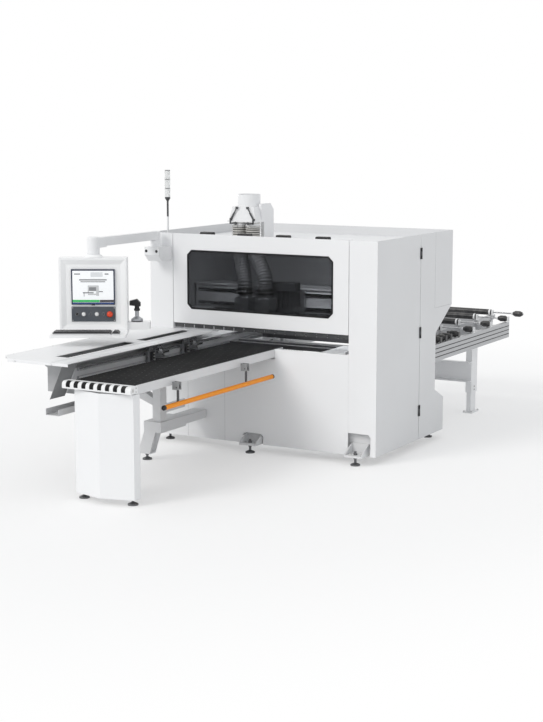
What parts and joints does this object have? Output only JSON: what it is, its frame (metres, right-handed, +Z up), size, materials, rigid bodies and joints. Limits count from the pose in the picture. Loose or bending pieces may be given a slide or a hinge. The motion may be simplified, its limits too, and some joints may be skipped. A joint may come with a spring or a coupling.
{
  "type": "six sided drilling machine",
  "caption": "Free-standing panel drilling machine with a roller-nosed infeed table, gripper beam, lift-up window door, swinging console, roof dust unit and roller outfeed.",
  "frame": {"origin": "middle of the footprint at floor level", "axes": "+X to the right seen from the operator's side, +Y along the panel feed towards the outfeed table, +Z up"},
  "size_m": [2.4858, 6.044, 2.508],
  "materials": {
    "white_panel": "satin",
    "grey_panel": "satin",
    "frame_white": "satin",
    "table_aluminium": "satin",
    "table_board": "matte",
    "black_plastic": "matte",
    "dark_metal": "satin",
    "orange_paint": "gloss",
    "smoked_glass": "gloss",
    "screen_glass": "gloss",
    "ground_steel": "ground",
    "machined_aluminium": "machined",
    "hose_plastic": "matte",
    "lamp_lens": "gloss",
    "panel_grey": "matte",
    "white_plastic": "gloss",
    "red_plastic": "gloss"
  },
  "bodies": {
    "machine": {"bed_frame": "frame_white", "gantry_beam": "frame_white", "linear_rails": "ground_steel", "levelling_feet": "ground_steel", "front_columns": "white_panel", "front_lower_panel": "white_panel", "left_side_panel": "grey_panel", "right_side_panel": "grey_panel", "rear_panels": "grey_panel", "roof_panel": "grey_panel", "infeed_table_frame": "table_aluminium", "infeed_table_top": "table_board", "infeed_nose": "white_plastic", "infeed_leg_cover": "white_panel", "gripper_beam": "frame_white", "beam_cover": "white_panel", "beam_bellows": "black_plastic", "beam_guards": "dark_metal", "bed_extension": "frame_white", "tower_light_pole": "dark_metal", "tower_light_lenses": "lamp_lens", "pendant_wall_bracket": "white_panel", "dust_manifold": "grey_panel", "dust_cylinders": "ground_steel", "dust_hoses": "hose_plastic", "outfeed_frame": "table_aluminium", "outfeed_legs": "white_panel", "support_bars": "black_plastic", "door_hinges": "black_plastic", "exit_wheels": "black_plastic"},
    "door": {"front_door": "white_panel", "front_door_window": "smoked_glass", "strip_curtain": "black_plastic"},
    "service_door": {"side_door": "grey_panel", "side_door_hinge_leaves": "black_plastic"},
    "arm": {"pendant_arm": "white_panel"},
    "console": {"console_housing": "white_panel", "console_screen": "screen_glass", "button_panel": "panel_grey", "keyboard": "black_plastic", "scanner_stand": "dark_metal"},
    "start_push": {"start_button": "white_plastic"},
    "stop_push": {"stop_button": "white_plastic"},
    "selector": {"selector_knob": "black_plastic"},
    "emergency_push": {"emergency_stop": "red_plastic"},
    "hand_scanner": {"scanner": "black_plastic"},
    "nose_roll": {"nose_rollers": "black_plastic"},
    "trip_bar": {"safety_bar": "orange_paint"},
    "front_grip": {"gripper_front": "machined_aluminium"},
    "front_jaw": {"gripper_front_jaw": "ground_steel"},
    "rear_grip": {"gripper_rear": "machined_aluminium"},
    "rear_jaw": {"gripper_rear_jaw": "ground_steel"},
    "top_carriage": {"upper_carriage": "machined_aluminium"},
    "top_head": {"upper_drill_head": "machined_aluminium"},
    "top_spindle": {"upper_spindle": "ground_steel"},
    "bottom_head": {"lower_drill_unit": "machined_aluminium"},
    "roller_row_1": {"outfeed_roller_1": "table_aluminium"},
    "roller_row_2": {"outfeed_roller_2": "table_aluminium"},
    "roller_row_3": {"outfeed_roller_3": "table_aluminium"},
    "roller_row_4": {"outfeed_roller_4": "table_aluminium"}
  },
  "joints": [
    {"name": "front_door_lift", "type": "hinge", "parent": "machine", "child": "door", "pos_m": [0.05989, -0.736, 1.925], "axis": [1, 0, 0], "range_deg": [-85, 0]},
    {"name": "side_door_swing", "type": "hinge", "parent": "machine", "child": "service_door", "pos_m": [1.23589, 0.131, 1.01], "axis": [0, 0, 1], "range_deg": [0, 110]},
    {"name": "arm_swing", "type": "hinge", "parent": "machine", "child": "arm", "pos_m": [-0.9611, -0.866, 1.858], "axis": [0, 0, 1], "range_deg": [-90, 0]},
    {"name": "console_swivel", "type": "hinge", "parent": "arm", "child": "console", "pos_m": [-0.9611, -1.816, 1.81], "axis": [0, 0, 1], "range_deg": [-60, 5]},
    {"name": "start_press", "type": "slide", "parent": "console", "child": "start_push", "axis": [-0.4939, 0.8695, 0], "range_m": [0, 0.004], "stiffness_N_per_m": 700, "springref_m": -0.001},
    {"name": "stop_press", "type": "slide", "parent": "console", "child": "stop_push", "axis": [-0.4939, 0.8695, 0], "range_m": [0, 0.004], "stiffness_N_per_m": 700, "springref_m": -0.001},
    {"name": "selector_turn", "type": "hinge", "parent": "console", "child": "selector", "pos_m": [-1.05122, -1.9408, 1.315], "axis": [-0.4939, 0.8695, 0], "range_deg": [-45, 45]},
    {"name": "emergency_press", "type": "slide", "parent": "console", "child": "emergency_push", "axis": [-0.4939, 0.8695, 0], "range_m": [0, 0.004], "stiffness_N_per_m": 1200, "springref_m": -0.001},
    {"name": "scanner_lift", "type": "slide", "parent": "console", "child": "hand_scanner", "axis": [0, 0, 1], "range_m": [0, 0.08]},
    {"name": "nose_roller_spin", "type": "hinge", "parent": "machine", "child": "nose_roll", "pos_m": [-0.08611, -2.981, 0.917], "axis": [1, 0, 0], "continuous": true},
    {"name": "safety_bar_swing", "type": "hinge", "parent": "machine", "child": "trip_bar", "pos_m": [0.26889, -1.866, 0.862], "axis": [0, 1, 0], "range_deg": [-12, 12]},
    {"name": "front_gripper_travel", "type": "slide", "parent": "machine", "child": "front_grip", "axis": [0, 1, 0], "range_m": [-0.9, 0.15]},
    {"name": "front_jaw_clamp", "type": "slide", "parent": "front_grip", "child": "front_jaw", "axis": [0, 0, 1], "range_m": [-0.032, 0]},
    {"name": "rear_gripper_travel", "type": "slide", "parent": "machine", "child": "rear_grip", "axis": [0, 1, 0], "range_m": [-0.15, 1]},
    {"name": "rear_jaw_clamp", "type": "slide", "parent": "rear_grip", "child": "rear_jaw", "axis": [0, 0, 1], "range_m": [-0.032, 0]},
    {"name": "top_carriage_travel", "type": "slide", "parent": "machine", "child": "top_carriage", "axis": [1, 0, 0], "range_m": [-0.18, 0.7]},
    {"name": "top_head_plunge", "type": "slide", "parent": "top_carriage", "child": "top_head", "axis": [0, 0, 1], "range_m": [-0.075, 0]},
    {"name": "top_spindle_spin", "type": "hinge", "parent": "top_head", "child": "top_spindle", "pos_m": [-0.12311, -0.128, 1.25], "axis": [0, 0, 1], "continuous": true},
    {"name": "bottom_head_travel", "type": "slide", "parent": "machine", "child": "bottom_head", "axis": [1, 0, 0], "range_m": [-0.15, 0.7]},
    {"name": "outfeed_row_1_spin", "type": "hinge", "parent": "machine", "child": "roller_row_1", "pos_m": [0.32889, 2.928, 0.919], "axis": [1, 0, 0], "continuous": true},
    {"name": "outfeed_row_2_spin", "type": "hinge", "parent": "machine", "child": "roller_row_2", "pos_m": [0.32889, 2.49, 0.919], "axis": [1, 0, 0], "continuous": true},
    {"name": "outfeed_row_3_spin", "type": "hinge", "parent": "machine", "child": "roller_row_3", "pos_m": [0.32889, 2.009, 0.919], "axis": [1, 0, 0], "continuous": true},
    {"name": "outfeed_row_4_spin", "type": "hinge", "parent": "machine", "child": "roller_row_4", "pos_m": [0.32889, 1.548, 0.919], "axis": [1, 0, 0], "continuous": true}
  ]
}
